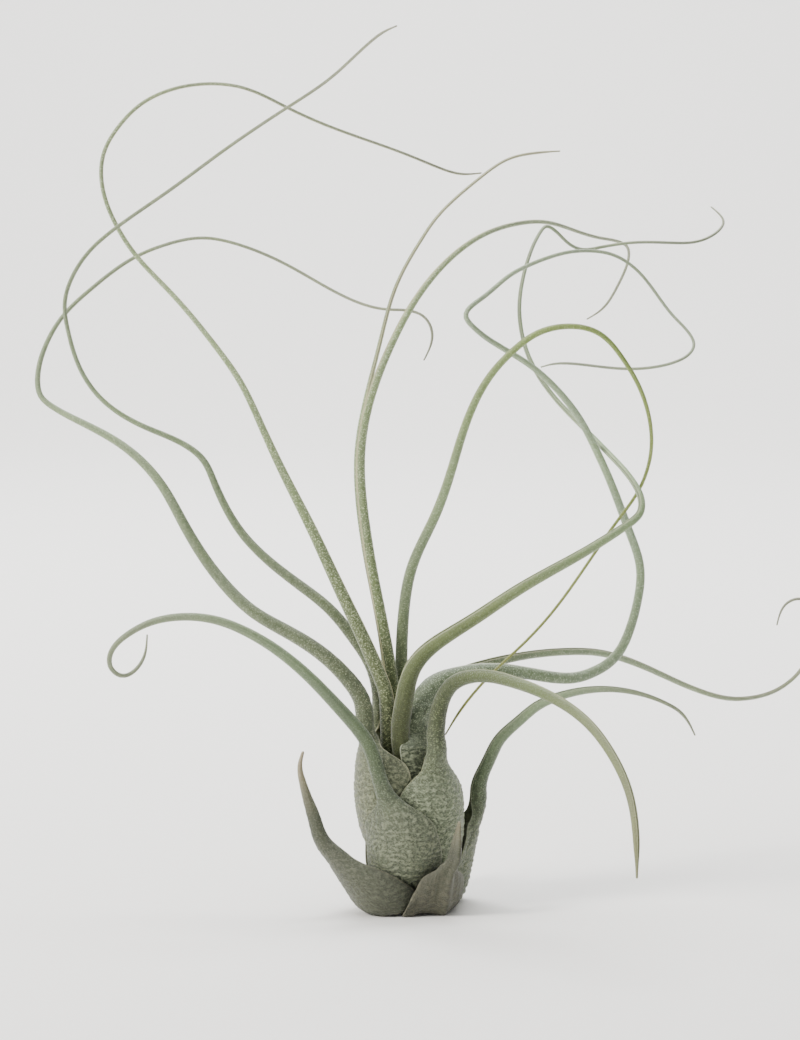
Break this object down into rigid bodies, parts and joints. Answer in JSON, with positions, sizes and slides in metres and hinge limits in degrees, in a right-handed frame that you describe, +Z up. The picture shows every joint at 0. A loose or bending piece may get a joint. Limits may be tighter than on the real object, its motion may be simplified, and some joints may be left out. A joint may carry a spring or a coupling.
{
  "type": "air plant",
  "caption": "Bulbous air plant: overlapping spoon-shaped sheaths form a hollow bulb, and each runs on into a long channelled blade that arches, loops or curls to a fine tip.",
  "frame": {"origin": "middle of the stem's flat cut foot, on the surface that the plant stands on", "axes": "+Z up, -Y towards the front, where the lowest curled leaf's bulging sheath faces, +X to the right"},
  "size_m": [0.1873, 0.1487, 0.197],
  "materials": {
    "leaf_scurf": "matt grey-green leaf under dense pale scurf, greener and smoother along the blades",
    "old_leaf_scurf": "matt, drab grey-brown leaf with worn scurf and dry tips",
    "stem_bark": "rough dark brown bark with old root stubs"
  },
  "bodies": {
    "root": {"stem": "stem_bark", "leaf_centre_arch": "leaf_scurf", "leaf_right_ring": "leaf_scurf", "leaf_centre_back": "leaf_scurf", "leaf_left_hook": "leaf_scurf", "leaf_right_elbow": "leaf_scurf", "leaf_left_tall": "leaf_scurf", "leaf_right_loop": "leaf_scurf", "leaf_right_trailing": "leaf_scurf", "leaf_left_arch": "leaf_scurf", "leaf_front_droop": "leaf_scurf", "leaf_front_curl": "leaf_scurf", "leaf_right_low": "leaf_scurf", "leaf_back_old": "old_leaf_scurf", "leaf_left_old": "old_leaf_scurf", "leaf_right_old": "old_leaf_scurf"}
  },
  "joints": []
}
